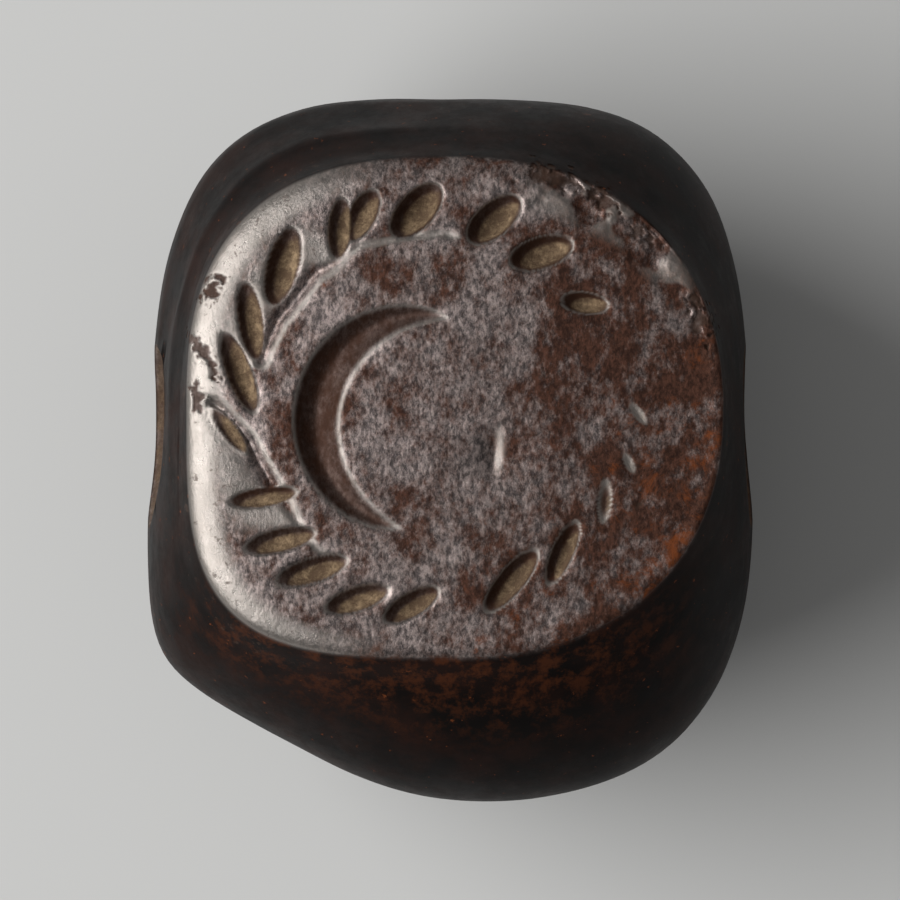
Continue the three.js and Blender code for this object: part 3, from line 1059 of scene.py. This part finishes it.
class SealFinish(bpy.types.PropertyGroup):
    sheen: colour_property("Sheen", "Grey half-metallic sheen of the polished face", (0.43, 0.35, 0.325))
    sheen_dark: colour_property("Dark sheen", "The same between the dashes of polish", (0.085, 0.072, 0.07))
    brown: colour_property("Brown", "Brown mottling in the face", (0.1, 0.045, 0.03))
    brown_dark: colour_property("Dark brown", "The same between the dashes of polish", (0.03, 0.015, 0.011))
    rust: colour_property("Rust", "Orange rust flecks", (0.17, 0.046, 0.013))
    flank: colour_property("Flank", "Dark stone of the flank and back", (0.003, 0.002, 0.0018))
    flank_warm: colour_property("Warm flank", "Brown clouds in the flank", (0.013, 0.0045, 0.0028))
    # Polish from wear on the lips and flakes; on the left shoulder and the dent's facet this finish is also
    # a painted highlight
    worn: colour_property("Worn", "Stone rubbed bright along the shoulder and the lips", (0.3, 0.275, 0.25))
    chip: colour_property("Chip", "Rough brown stone where the edge is chipped", (0.05, 0.03, 0.022))
    earth: colour_property("Earth", "Dark earth left in the cuts", (0.1, 0.064, 0.04))
    earth_light: colour_property("Light earth", "Golden grains of that earth", (0.34, 0.24, 0.145))
    # This dark brown is partly the stone in the cuts and partly painted shade there
    channel: colour_property("Channel", "Brown stone in the crescent", (0.04, 0.019, 0.012))
    roughness: FloatProperty(
        name="Roughness", description="Roughness of the polished face", default=0.33, min=0, max=1
    )


class SealStudio(bpy.types.PropertyGroup):
    floor: colour_property("Floor", "Colour of the floor", (0.6, 0.6, 0.59))
    camera_distance: FloatProperty(
        name="Camera distance", description="From the girdle up to the camera", default=0.9, unit="LENGTH"
    )
    frame_width: FloatProperty(
        name="Frame width",
        description="Width that the camera sees at the height of the girdle",
        default=21.687 * MM,
        unit="LENGTH",
    )
    sky: FloatProperty(name="Sky", description="Strength of the even light all round", default=0.2, min=0)
    key: FloatProperty(name="Key", description="Power of the soft light on the left, in watts", default=5.7)


class SEAL_OT_stone(bpy.types.Operator):
    """Makes the carved stone with its engraving, perforation and finish"""

    bl_idname = "seal.stone"
    bl_label = "Carved Stone"

    def execute(self, context):
        scene = context.scene
        stone = bpy.data.objects.new("carved_stone", stone_mesh(scene.seal_sizes))
        scene.collection.objects.link(stone)
        stone.data.materials.append(stone_material(scene.seal_finish))
        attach(stone, "root")
        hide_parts("seal_stone")
        return {"FINISHED"}


def floor_material(colour):
    material = bpy.data.materials.new("pale_floor")
    material.use_nodes = True
    shader = material.node_tree.nodes["Principled BSDF"]
    shader.inputs["Base Color"].default_value = (*colour, 1)
    shader.inputs["Roughness"].default_value = FLOOR_ROUGHNESS
    shader.inputs["Specular IOR Level"].default_value = FLOOR_SPECULAR
    return material


def add_floor(scene, colour):
    bm = bmesh.new()
    bmesh.ops.create_grid(bm, x_segments=1, y_segments=1, size=FLOOR_HALF_WIDTH)
    mesh = bpy.data.meshes.new("floor")
    bm.to_mesh(mesh)
    bm.free()
    floor = bpy.data.objects.new("floor", mesh)
    scene.collection.objects.link(floor)
    mesh.materials.append(floor_material(colour))


def add_sky(scene, strength):
    world = bpy.data.worlds.new("studio_sky")
    world.use_nodes = True
    background = world.node_tree.nodes["Background"]
    background.inputs["Color"].default_value = (1, 1, 1, 1)
    background.inputs["Strength"].default_value = strength
    scene.world = world


def add_key_light(scene, power, azimuth, elevation, distance, size):
    """One broad soft light, as wide and high as size says, that faces the seal."""
    lamp = bpy.data.lights.new("key_light", "AREA")
    lamp.shape = "RECTANGLE"
    lamp.size, lamp.size_y = size
    lamp.energy = power
    light = bpy.data.objects.new("key_light", lamp)
    level = math.cos(math.radians(elevation))
    way = Vector(
        (
            level * math.cos(math.radians(azimuth)),
            level * math.sin(math.radians(azimuth)),
            math.sin(math.radians(elevation)),
        )
    )
    light.location = way * distance
    light.rotation_euler = way.to_track_quat("Z", "Y").to_euler()
    light.visible_camera = False
    scene.collection.objects.link(light)


def add_camera(scene, distance, width):
    camera = bpy.data.cameras.new("camera")
    camera.sensor_width = SENSOR_WIDTH
    camera.lens = camera.sensor_width * distance / width
    camera.clip_start = CLIP_START
    camera.clip_end = CLIP_END
    viewer = bpy.data.objects.new("camera", camera)
    viewer.location = (0, 0, GIRDLE_HEIGHT * MM + distance)
    scene.collection.objects.link(viewer)
    scene.camera = viewer


class SEAL_OT_stage(bpy.types.Operator):
    """Makes the pale floor, the soft light and the camera"""

    bl_idname = "seal.stage"
    bl_label = "Studio Stage"

    def execute(self, context):
        scene = context.scene
        studio = scene.seal_studio
        add_floor(scene, studio.floor)
        add_sky(scene, studio.sky)
        add_key_light(scene, studio.key, **KEY_LIGHT)
        add_camera(scene, studio.camera_distance, studio.frame_width)
        scene.view_settings.view_transform = "Standard"
        return {"FINISHED"}


class SEAL_PT_panel(bpy.types.Panel):
    """Lists what builds the seal"""

    bl_idname = "SEAL_PT_panel"
    bl_label = "Stamp Seal"
    bl_space_type = "VIEW_3D"
    bl_region_type = "UI"
    bl_category = "Seal"

    def draw(self, context):
        for operator in (SEAL_OT_stone, SEAL_OT_stage):
            self.layout.operator(operator.bl_idname)
        for group in (context.scene.seal_sizes, context.scene.seal_finish, context.scene.seal_studio):
            for name in group.__annotations__:
                self.layout.prop(group, name)


CLASSES = (SealSizes, SealFinish, SealStudio, SEAL_OT_stone, SEAL_OT_stage, SEAL_PT_panel)


def register():
    for item in CLASSES:
        bpy.utils.register_class(item)
    bpy.types.Scene.seal_sizes = PointerProperty(type=SealSizes)
    bpy.types.Scene.seal_finish = PointerProperty(type=SealFinish)
    bpy.types.Scene.seal_studio = PointerProperty(type=SealStudio)


def unregister():
    del bpy.types.Scene.seal_studio
    del bpy.types.Scene.seal_finish
    del bpy.types.Scene.seal_sizes
    for item in reversed(CLASSES):
        bpy.utils.unregister_class(item)


def main():
    """Builds everything."""
    register()
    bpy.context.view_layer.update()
    bpy.ops.seal.stone()
    bpy.ops.seal.stage()


if __name__ == "__main__":
    main()
